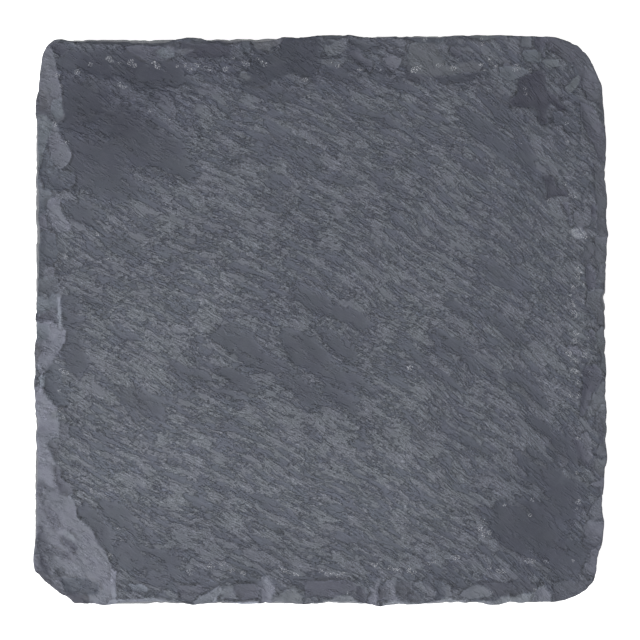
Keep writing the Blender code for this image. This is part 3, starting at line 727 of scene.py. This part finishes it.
def wall_colour_with_painted_light(angle):
    """Colour multiplier of the side wall, which changes from side to side: the stone's own hue, with
    painted light that makes the front wall lightest.
    """
    wander = line_noise(angle * MEAN_RADIUS / 9, 84)
    total = np.zeros(angle.shape + (3,))
    weights = np.zeros_like(angle)
    for (side_x, side_y), tone, hue in WALL_COLOURS_WITH_PAINTED_LIGHT:
        weight = np.maximum(np.cos(angle) * side_x + np.sin(angle) * side_y, 0) ** 6
        total += weight[:, None] * (1 + tone + 0.14 * wander)[:, None] * np.array(HUES[hue])
        weights += weight
    return total / weights[:, None]


def wall_ring(angle, top_height, row):
    """Places, grain places and layers of one ring of wall points; the last row lies underneath."""
    share = row / (WALL_ROWS - 1)
    base = STONE_BASE + UNDER_ARRIS
    height = top_height + (base - top_height) * share
    around = angle * MEAN_RADIUS
    layers = layered_noise(around / 5, height * 2.3, 82, 3)
    chips = np.maximum(0.10 * layered_noise(around / 1.5, height * 0.6, 83, 2), 0)
    lean = rim_inset(angle) * (1 - share) ** WALL_LEAN
    inset = lean + LAYER_RELIEF * (1 + layers) * (0.3 + math.sin(math.pi * share)) + chips
    if row == WALL_ROWS:
        height = np.full_like(angle, STONE_BASE)
        inset = np.full_like(angle, UNDER_ARRIS)
    radius = rim_radius(angle) - np.maximum(inset, 0)
    x = radius * np.cos(angle)
    y = radius * np.sin(angle)
    along, across = grain_coordinates(x, y)
    return np.stack([x, y, height], axis=-1), np.stack([along, across, height], axis=-1), layers - 0.1


def layers_of(bm):
    """The layers of values that the stone's points carry, by name."""
    kinds = (bm.verts.layers.int, bm.verts.layers.float, bm.verts.layers.float_vector)
    return {name: kind[name] for kind in kinds for name in kind.keys()}


def add_wall(bm, angle):
    """Draws the rim of the face down to the underside, ring by ring."""
    layer = layers_of(bm)
    rim_verts = [v for v in bm.verts if v.is_boundary]
    angle = angle[[v.index for v in rim_verts]]
    for index, vert in enumerate(rim_verts):
        vert[layer["column"]] = index
    top_height = np.array([vert.co.z for vert in rim_verts])
    # the wall's own hue, with painted light that makes the front wall lightest
    wall_colours_with_light = wall_colour_with_painted_light(angle).tolist()
    edges = [e for e in bm.edges if e.is_boundary]
    for row in range(1, WALL_ROWS + 1):
        made = bmesh.ops.extrude_edge_only(bm, edges=edges)["geom"]
        places, grains, layers = (values.tolist() for values in wall_ring(angle, top_height, row))
        for vert in (item for item in made if isinstance(item, bmesh.types.BMVert)):
            number = vert[layer["column"]]
            vert.co = places[number]
            vert[layer["wall"]] = FIRST_RING_WALL if row == 1 else 1.0
            vert[layer["bruise"]] = 0.0
            vert[layer["lamina"]] = layers[number]
            vert[layer["grain"]] = grains[number]
            vert[layer["shade"]] = wall_colours_with_light[number]
        edges = [item for item in made if isinstance(item, bmesh.types.BMEdge)]


def add_underside(bm):
    """Closes the stone with a coarser grid, its border split to meet the wall's points."""
    layer = layers_of(bm)
    cells = FACE_CELLS // 2
    made = bmesh.ops.create_grid(bm, x_segments=cells, y_segments=cells, size=1.0)
    for vert in made["verts"]:
        vert[layer["wall"]] = UNDERSIDE_MARK
    border = {e for v in made["verts"] for e in v.link_edges if e.is_boundary}
    bmesh.ops.subdivide_edges(bm, edges=list(border), cuts=1)
    verts = [v for v in bm.verts if v[layer["wall"]] > UNDERSIDE_MARK - 0.5]
    grid_x = crowded(np.array([v.co.x for v in verts]))
    grid_y = crowded(np.array([v.co.y for v in verts]))
    x, y = fit_to_outline(grid_x, grid_y, UNDER_ARRIS)
    border_share = np.maximum(np.abs(grid_x), np.abs(grid_y))
    relief = UNDER_RELIEF * (1 + layered_noise(x / 9, y / 5, 91)) * ramp(1 - border_share, 0, 0.02)
    for foot in FEET:
        centre = (Vector(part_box(foot)[0]) + Vector(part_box(foot)[1])) / 2 / MM
        relief = relief * ramp(np.hypot(x - centre.x, y - centre.y), *FOOT_PAD)
    for vert, px, py, lift in zip(verts, x, y, relief):
        vert.co = (px, py, STONE_BASE + max(lift, 0))
        vert[layer["wall"]] = 1.0
        vert[layer["lamina"]] = 12 * lift - 1
        vert[layer["grain"]] = (px, py, lift)
        vert[layer["shade"]] = (1.0, 1.0, 1.0)


def make_stone(material):
    """One closed mesh: the split face, the side wall and the underside."""
    bm = bmesh.new()
    bmesh.ops.create_grid(bm, x_segments=FACE_CELLS, y_segments=FACE_CELLS, size=1.0)
    bm.verts.ensure_lookup_table()
    grid_x = crowded(np.array([v.co.x for v in bm.verts]))
    grid_y = crowded(np.array([v.co.y for v in bm.verts]))
    angle = np.arctan2(grid_y * HALF_Y, grid_x * HALF_X)
    x, y = fit_to_outline(grid_x, grid_y, rim_inset(angle))
    fields = stone_fields(x, y)
    for vert, px, py, pz in zip(bm.verts, x, y, fields.pop("height")):
        vert.co = (px, py, pz)
    bm.verts.layers.int.new("column")
    bm.verts.layers.float.new("wall")
    for name, values in fields.items():
        kinds = bm.verts.layers.float_vector if values.ndim == 2 else bm.verts.layers.float
        layer = kinds.new(name)
        for vert, value in zip(bm.verts, values.tolist()):
            vert[layer] = value

    bm.verts.index_update()
    add_wall(bm, angle)
    add_underside(bm)
    bmesh.ops.remove_doubles(bm, verts=bm.verts, dist=WELD)
    bmesh.ops.scale(bm, vec=(MM, MM, MM), verts=bm.verts)
    bmesh.ops.recalc_face_normals(bm, faces=bm.faces)
    stone = finished("riven_stone", bm, material)
    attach(stone, "root")
    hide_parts("stone_slab")


def finished(name, bm, material):
    """Turns a bmesh into a smoothly shaded object in the scene."""
    mesh = bpy.data.meshes.new(name)
    bm.to_mesh(mesh)
    bm.free()
    mesh.materials.append(material)
    mesh.shade_smooth()
    item = bpy.data.objects.new(name, mesh)
    bpy.context.scene.collection.objects.link(item)
    return item


# ---- feet ----------------------------------------------------------------------------

# Half section of a foot, as shares of its radius and height: dished base, rounded edge, soft lip.
FOOT_SECTION = [
    (0.0, 0.09), (0.62, 0.075), (0.70, 0.02), (0.76, 0.0), (0.86, 0.0), (0.905, 0.05), (0.93, 0.16),
    (0.955, 0.45), (0.965, 0.52), (0.975, 0.80), (1.0, 0.90), (0.995, 0.97), (0.97, 1.0), (0.0, 1.0),
]
FOOT_STEPS = 64
FILM_STEPS = 96
FILM_BEVEL = 0.07           # millimetres
FILM_WANDER = 0.02          # how much the film's edge wanders, as a share of its radius
SHARP = math.radians(50)    # edges sharper than this are not smoothed over


def make_foot(node, material):
    """Rubber bumper turned from its half section."""
    low, high = (Vector(corner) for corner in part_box(node))
    centre = (low + high) / 2
    height = high.z - low.z
    radius = (high.x - low.x) / 2
    bm = bmesh.new()
    verts = [bm.verts.new((radius * r, 0, low.z + height * h)) for r, h in FOOT_SECTION]
    edges = [bm.edges.new(pair) for pair in zip(verts, verts[1:])]
    bmesh.ops.spin(
        bm, geom=verts + edges, cent=(0, 0, 0), axis=(0, 0, 1), angle=2 * math.pi,
        steps=FOOT_STEPS, use_merge=True,
    )
    bmesh.ops.remove_doubles(bm, verts=bm.verts, dist=1e-6)
    bmesh.ops.translate(bm, verts=bm.verts, vec=(centre.x, centre.y, 0))
    bmesh.ops.recalc_face_normals(bm, faces=bm.faces)
    foot = finished(node.replace("foot_", "bumper_"), bm, material)
    foot.data.set_sharp_from_angle(angle=SHARP)
    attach(foot, "root")
    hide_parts(node)


def make_film(node, material, seed):
    """Adhesive disc with the slightly uneven edge that pressing it down leaves."""
    low, high = (Vector(corner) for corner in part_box(node))
    centre = (low + high) / 2
    radius = (high.x - low.x) / 2
    bm = bmesh.new()
    bmesh.ops.create_cone(
        bm, cap_ends=True, segments=FILM_STEPS, radius1=radius, radius2=radius, depth=high.z - low.z,
    )
    rims = [e for e in bm.edges if abs(e.verts[0].co.z - e.verts[1].co.z) < 1e-7]
    bmesh.ops.bevel(
        bm, geom=rims, offset=FILM_BEVEL * MM, offset_type="OFFSET", affect="EDGES", segments=2,
        profile=0.5, material=-1,
    )
    for vert in bm.verts:
        turn = np.array([math.atan2(vert.co.y, vert.co.x) * 3])
        shrink = FILM_WANDER * (1 + float(line_noise(turn, seed)[0]))
        vert.co.xy *= 1 - max(0.0, min(shrink, 2 * FILM_WANDER))
    bmesh.ops.translate(bm, verts=bm.verts, vec=centre)
    film = finished(node.replace("foot_", ""), bm, material)
    film.data.set_sharp_from_angle(angle=SHARP)
    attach(film, "root")
    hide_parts(node)


# ---- materials -----------------------------------------------------------------------

BARE = (0.0482, 0.0540, 0.0714, 1.0)        # smooth ground between the laminae
LAMINA = (0.0772, 0.0833, 0.0992, 1.0)      # rough laminae standing on it
SCARRED = (0.0612, 0.0664, 0.0800, 1.0)     # fresh slate in the scars
BRUISED = (0.44, 0.45, 0.48, 1.0)           # slate crushed white
VIOLET = (1.008, 0.993, 1.014, 1.0)         # the two tints that the stone wavers between
GREENISH = (0.996, 1.004, 0.994, 1.0)
DUST = (0.34, 0.35, 0.36, 1.0)
RUBBER = (0.016, 0.016, 0.017, 1.0)
RUBBER_BLOOM = (0.026, 0.026, 0.027, 1.0)   # greyer clouds in the rubber
FILM = (0.55, 0.55, 0.50, 1.0)
FILM_BUBBLES = (0.70, 0.70, 0.67, 1.0)
FLOOR = (0.90, 0.90, 0.90, 1.0)
FLOOR_LIGHT = (0.93, 0.93, 0.93, 1.0)
WHITE = (1.0, 1.0, 1.0, 1.0)
BRIGHTNESS = 1.19                           # of the slate as a whole

# How much each effect lightens the slate, or darkens it where below 0; the dark line outside the facets
# is painted shadow, and the light line just inside them a painted highlight.
LIFT = {
    "clouds": 0.30, "strata": 1.3, "light bits": 0.80, "dark bits": -0.46, "bare patch": -0.33,
    "crumbs": 0.5, "sparks": 2.0, "grooves": 0.50, "line outside facets": -0.38, "arris": 0.20,
}

# Heights of the slate's relief that is finer than its mesh, in millimetres.
RELIEF = {"fibre": 0.24, "raised": 0.06, "grooves": 0.12, "tears": 0.05, "strata": 0.30}


def feed(tree, node, inputs):
    """Gives a node's inputs, by socket name or number, a value or another socket."""
    for key, value in inputs.items():
        if isinstance(value, bpy.types.NodeSocket):
            tree.links.new(value, node.inputs[key])
        else:
            node.inputs[key].default_value = value


def add(tree, kind, inputs=None, **settings):
    """Adds a node with its inputs and settings."""
    node = tree.nodes.new(kind)
    for name, value in settings.items():
        setattr(node, name, value)
    feed(tree, node, inputs or {})
    return node


def math_node(tree, operation, a, b, clamp=False):
    return add(tree, "ShaderNodeMath", {0: a, 1: b}, operation=operation, use_clamp=clamp).outputs[0]


def attribute(tree, name, output="Fac"):
    return add(tree, "ShaderNodeAttribute", attribute_name=name).outputs[output]


def scaled(tree, vector, scale):
    return add(tree, "ShaderNodeMapping", {"Vector": vector, "Scale": scale}).outputs[0]


def noise(tree, vector, scale, detail, roughness=0.6):
    inputs = {"Vector": vector, "Scale": scale, "Detail": detail, "Roughness": roughness}
    return add(tree, "ShaderNodeTexNoise", inputs).outputs["Fac"]


def stretched(tree, vector, scales, detail, roughness):
    """Noise with its own scale along each axis."""
    return noise(tree, scaled(tree, vector, scales), 1.0, detail, roughness)


def spread(tree, value, start, end, low=0.0, high=1.0):
    """Maps start..end smoothly on to low..high."""
    inputs = {"Value": value, "From Min": start, "From Max": end, "To Min": low, "To Max": high}
    return add(tree, "ShaderNodeMapRange", inputs, interpolation_type="SMOOTHSTEP").outputs[0]


def blend(tree, factor, a, b, mode="MIX"):
    """Mixes two colours."""
    node = add(tree, "ShaderNodeMix", data_type="RGBA", blend_type=mode)
    number = {socket.identifier: index for index, socket in enumerate(node.inputs)}
    feed(tree, node, {number["Factor_Float"]: factor, number["A_Color"]: a, number["B_Color"]: b})
    return next(out for out in node.outputs if out.identifier == "Result_Color")


def bump(tree, height, strength, distance):
    """Normal from a height, whose 1 is this distance in metres."""
    inputs = {"Height": height, "Strength": strength, "Distance": distance}
    return add(tree, "ShaderNodeBump", inputs).outputs[0]


def new_material(name):
    material = bpy.data.materials.new(name)
    material.use_nodes = True
    tree = material.node_tree
    return material, tree, tree.nodes["Principled BSDF"]


def object_mm(tree):
    """Object coordinates in millimetres."""
    place = add(tree, "ShaderNodeTexCoord").outputs["Object"]
    return scaled(tree, place, (1 / MM,) * 3)


def dust_group():
    """Stone dust: a pale film that gathers in patches and as fine specks."""
    group = bpy.data.node_groups.new("stone_dust", "ShaderNodeTree")
    group.interface.new_socket("Color", in_out="INPUT", socket_type="NodeSocketColor")
    group.interface.new_socket("Amount", in_out="INPUT", socket_type="NodeSocketFloat")
    group.interface.new_socket("Color", in_out="OUTPUT", socket_type="NodeSocketColor")
    enter = group.nodes.new("NodeGroupInput")
    leave = group.nodes.new("NodeGroupOutput")
    place = object_mm(group)
    clouds = spread(group, noise(group, place, 0.35, 4.0, 0.6), 0.42, 0.72)
    specks = spread(group, noise(group, place, 6.0, 1.0, 0.5), 0.66, 0.74)
    cover = math_node(group, "MAXIMUM", times(group, clouds, 0.35), specks)
    factor = math_node(group, "MULTIPLY", cover, enter.outputs["Amount"], clamp=True)
    dusty = blend(group, factor, enter.outputs["Color"], DUST)
    group.links.new(dusty, leave.inputs["Color"])
    return group


def with_dust(tree, dust, colour, amount):
    inputs = {"Color": colour, "Amount": amount}
    return add(tree, "ShaderNodeGroup", inputs, node_tree=dust).outputs["Color"]


def times(tree, value, factor):
    return math_node(tree, "MULTIPLY", value, factor)


def plus(tree, *values):
    """Sum of all the values."""
    total = values[0]
    for value in values[1:]:
        total = math_node(tree, "ADD", total, value)
    return total


def centred(tree, value):
    """Turns a 0 to 1 noise into a swing about 0."""
    return math_node(tree, "SUBTRACT", value, 0.5)


def rest_of(tree, value):
    """1 less the value, and never below 0."""
    return math_node(tree, "SUBTRACT", 1.0, value, clamp=True)


def weighed(tree, effects, weights):
    """Sum of the effects, each times its weight."""
    return plus(tree, *(times(tree, effects[name], weight) for name, weight in weights.items()))


def facet_borders(tree, place):
    """Masks of the painted shadow just outside the facets and of the painted highlight on the edge just
    inside.
    """
    stray = times(tree, centred(tree, noise(tree, place, 1.5, 3.0, 0.6)), 0.7)
    stray = plus(tree, attribute(tree, "brink"), stray)
    outside = times(tree, spread(tree, stray, -0.75, -0.15), spread(tree, stray, 0.06, -0.06))
    inside = times(tree, spread(tree, stray, -0.04, 0.06), spread(tree, stray, 0.40, 0.12))
    gaps = spread(tree, noise(tree, place, 0.45, 2.0, 0.5), 0.40, 0.58)
    return times(tree, outside, gaps), times(tree, inside, gaps)


def slate_material(dust):
    """Bare ground, laminae, scars and bruises, each with its colour and its relief."""
    material, tree, shader = new_material("riven_slate")
    grain = attribute(tree, "grain", "Vector")
    place = object_mm(tree)
    lamina = attribute(tree, "lamina")
    patch = attribute(tree, "patch")
    scar = attribute(tree, "scar")
    shade = attribute(tree, "shade", "Vector")
    wall = attribute(tree, "wall")
    bruise = attribute(tree, "bruise")
    broken = math_node(tree, "MAXIMUM", scar, wall)

    # Ragged borders of the laminae, finer than the mesh carries.
    tear = stretched(tree, grain, (0.8, 2.6, 2.6), 5.0, 0.74)
    torn = plus(tree, lamina, times(tree, centred(tree, tear), 2.1))
    raised = spread(tree, torn, -0.06, 0.10)
    raised = times(tree, raised, spread(tree, broken, 0.0, 1.0, 1.0, 0.26))

    # Torn ends of laminae: fine light and dark dashes, in clusters along the grain.
    dashes = stretched(tree, grain, (0.95, 4.8, 4.8), 2.0, 0.6)
    crumbs = noise(tree, place, 3.3, 1.5, 0.6)
    sparks = noise(tree, place, 5.6, 1.0, 0.5)
    fibre = plus(tree, times(tree, dashes, 0.70), times(tree, crumbs, 0.30))
    cluster = stretched(tree, grain, (0.30, 0.75, 0.75), 3.0, 0.65)
    cluster = spread(tree, plus(tree, cluster, times(tree, raised, 0.10)), 0.48, 0.62)
    calm = rest_of(tree, times(tree, patch, 0.45))
    rough_here = times(tree, spread(tree, cluster, 0.0, 1.0, 0.22, 1.0), calm)
    rough_here = times(tree, rough_here, spread(tree, scar, 0.0, 1.0, 1.0, 0.75))
    light_bits = times(tree, spread(tree, fibre, 0.53, 0.66), rough_here)
    dark_bits = times(tree, spread(tree, fibre, 0.47, 0.36), rough_here)
    clear = rest_of(tree, plus(tree, patch, times(tree, scar, 0.8)))
    grooves = stretched(tree, grain, (0.40, 2.6, 2.6), 3.0, 0.6)
    mottle = noise(tree, place, 0.16, 3.0, 0.6)
    layers = stretched(tree, place, (0.22, 0.22, 2.4), 4.0, 0.65)
    # painted shadow just outside the facets' borders and painted highlight just inside them
    outside, inside = facet_borders(tree, place)
    top = rest_of(tree, wall)

    colour = blend(tree, raised, BARE, LAMINA)
    colour = blend(tree, broken, colour, blend(tree, raised, SCARRED, LAMINA))
    tint = blend(tree, spread(tree, noise(tree, place, 0.28, 2.0, 0.5), 0.40, 0.60), VIOLET, GREENISH)
    colour = blend(tree, 1.0, colour, tint, "MULTIPLY")
    colour = blend(tree, 1.0, colour, shade, "MULTIPLY")

    # Everything that lightens or darkens the stone, as one factor about 1.
    strata = times(tree, centred(tree, layers), wall)
    lift = weighed(tree, {
        "clouds": centred(tree, mottle),
        "strata": strata,
        "light bits": light_bits,
        "dark bits": dark_bits,
        "bare patch": patch,
        "crumbs": times(tree, centred(tree, crumbs), rough_here),
        "sparks": times(tree, centred(tree, sparks), rough_here),
        "grooves": times(tree, centred(tree, grooves), clear),
        # the painted shadow and painted highlight at the facets' borders, on the top only
        "line outside facets": times(tree, outside, top),
        "arris": times(tree, inside, top),
    }, LIFT)
    bright = plus(tree, BRIGHTNESS, lift)
    grey = add(tree, "ShaderNodeCombineColor", {0: bright, 1: bright, 2: bright}).outputs[0]
    colour = blend(tree, 1.0, colour, grey, "MULTIPLY")

    flecks = noise(tree, place, 7.0, 2.0, 0.7)
    crushed = spread(tree, times(tree, spread(tree, bruise, 0.30, 0.60), flecks), 0.565, 0.625)
    colour = blend(tree, crushed, colour, BRUISED)
    relief = weighed(tree, {
        "fibre": times(tree, fibre, rough_here),
        "raised": raised,
        "grooves": times(tree, grooves, clear),
        "tears": tear,
        "strata": strata,
    }, RELIEF)
    feed(tree, shader, {
        "Base Color": with_dust(tree, dust, colour, 0.06),
        "Roughness": spread(tree, raised, 0.0, 1.0, 0.60, 0.80),
        "Specular IOR Level": 0.35,
        "Normal": bump(tree, relief, 1.0, MM),
    })
    return material


def rubber_material(dust):
    material, tree, shader = new_material("soft_rubber")
    place = object_mm(tree)
    cloud = spread(tree, noise(tree, place, 0.9, 3.0), 0.35, 0.65)
    colour = blend(tree, cloud, RUBBER, RUBBER_BLOOM)
    feed(tree, shader, {
        "Base Color": with_dust(tree, dust, colour, 0.30),
        "Roughness": spread(tree, cloud, 0.0, 1.0, 0.52, 0.68),
        "Normal": bump(tree, noise(tree, place, 9.0, 3.0), 0.5, 0.03 * MM),
    })
    return material


def film_material(dust):
    material, tree, shader = new_material("adhesive_film")
    place = object_mm(tree)
    bubbles = spread(tree, noise(tree, place, 1.7, 2.0), 0.45, 0.62)
    colour = blend(tree, bubbles, FILM, FILM_BUBBLES)
    feed(tree, shader, {
        "Base Color": with_dust(tree, dust, colour, 0.5),
        "Roughness": spread(tree, bubbles, 0.0, 1.0, 0.30, 0.48),
        "Normal": bump(tree, bubbles, 0.4, 0.02 * MM),
    })
    return material


def floor_material():
    material, tree, shader = new_material("pale_floor")
    place = object_mm(tree)
    soft = spread(tree, noise(tree, place, 0.01, 2.0), 0.3, 0.7)
    feed(tree, shader, {
        "Base Color": blend(tree, soft, FLOOR, FLOOR_LIGHT), "Roughness": 0.9,
        "Specular IOR Level": 0.1, "Emission Color": WHITE, "Emission Strength": FLOOR_GLOW,
    })
    return material


# ---- studio --------------------------------------------------------------------------

FLOOR_SIZE = 6.0            # metres
FLOOR_GLOW = 0.55
LENS = 90.0                 # millimetres, as is the sensor
SENSOR = 36.0
VIEW_WIDTH = 0.1103         # metres across the picture at the height of the face
SKY_LIGHT = 0.36            # strength of the sky as a light
SKY_SEEN = 0.60             # and how much stronger the camera sees it
KEY = (-0.55, -0.42, 0.62), 0.45, 9.6       # place, size and power
TOP = (0.1, 0.15, 1.1), 0.9, 5.2


def make_floor():
    """Wide pale floor under the slab."""
    bm = bmesh.new()
    bmesh.ops.create_grid(bm, x_segments=8, y_segments=8, size=FLOOR_SIZE / 2)
    finished("floor", bm, floor_material())


def make_camera():
    """Looks straight down on the split face."""
    camera = bpy.data.objects.new("camera", bpy.data.cameras.new("camera"))
    bpy.context.scene.collection.objects.link(camera)
    camera.data.lens = LENS
    camera.data.sensor_width = SENSOR
    distance = VIEW_WIDTH * LENS / SENSOR
    camera.location = (0.0, 0.0, STONE_TOP * MM + distance)
    camera.data.clip_start = 0.01
    camera.data.clip_end = 50.0
    bpy.context.scene.camera = camera


def area_light(name, place, size, power):
    """Square light that looks at the middle of the slab."""
    data = bpy.data.lights.new(name, "AREA")
    data.shape = "SQUARE"
    data.size = size
    data.energy = power
    lamp = bpy.data.objects.new(name, data)
    bpy.context.scene.collection.objects.link(lamp)
    lamp.location = place
    lamp.rotation_euler = (-Vector(place)).to_track_quat("-Z", "Y").to_euler()


def make_studio():
    """White sky, a key light from the front left and a soft light from above."""
    scene = bpy.context.scene
    scene.view_settings.view_transform = "Standard"
    scene.world = bpy.data.worlds.new("studio")
    scene.world.use_nodes = True
    sky = scene.world.node_tree
    seen = add(sky, "ShaderNodeLightPath").outputs["Is Camera Ray"]
    strength = math_node(sky, "ADD", SKY_LIGHT, times(sky, seen, SKY_SEEN))
    feed(sky, sky.nodes["Background"], {"Color": WHITE, "Strength": strength})
    area_light("key", *KEY)
    area_light("top", *TOP)


make_floor()
make_camera()
make_studio()
stone_dust = dust_group()
make_stone(slate_material(stone_dust))
rubber = rubber_material(stone_dust)
film_finish = film_material(stone_dust)
for foot_name in FEET:
    make_foot(foot_name, rubber)
for film_number, film_name in enumerate(sorted(FILMS)):
    make_film(film_name, film_finish, 300 + film_number)
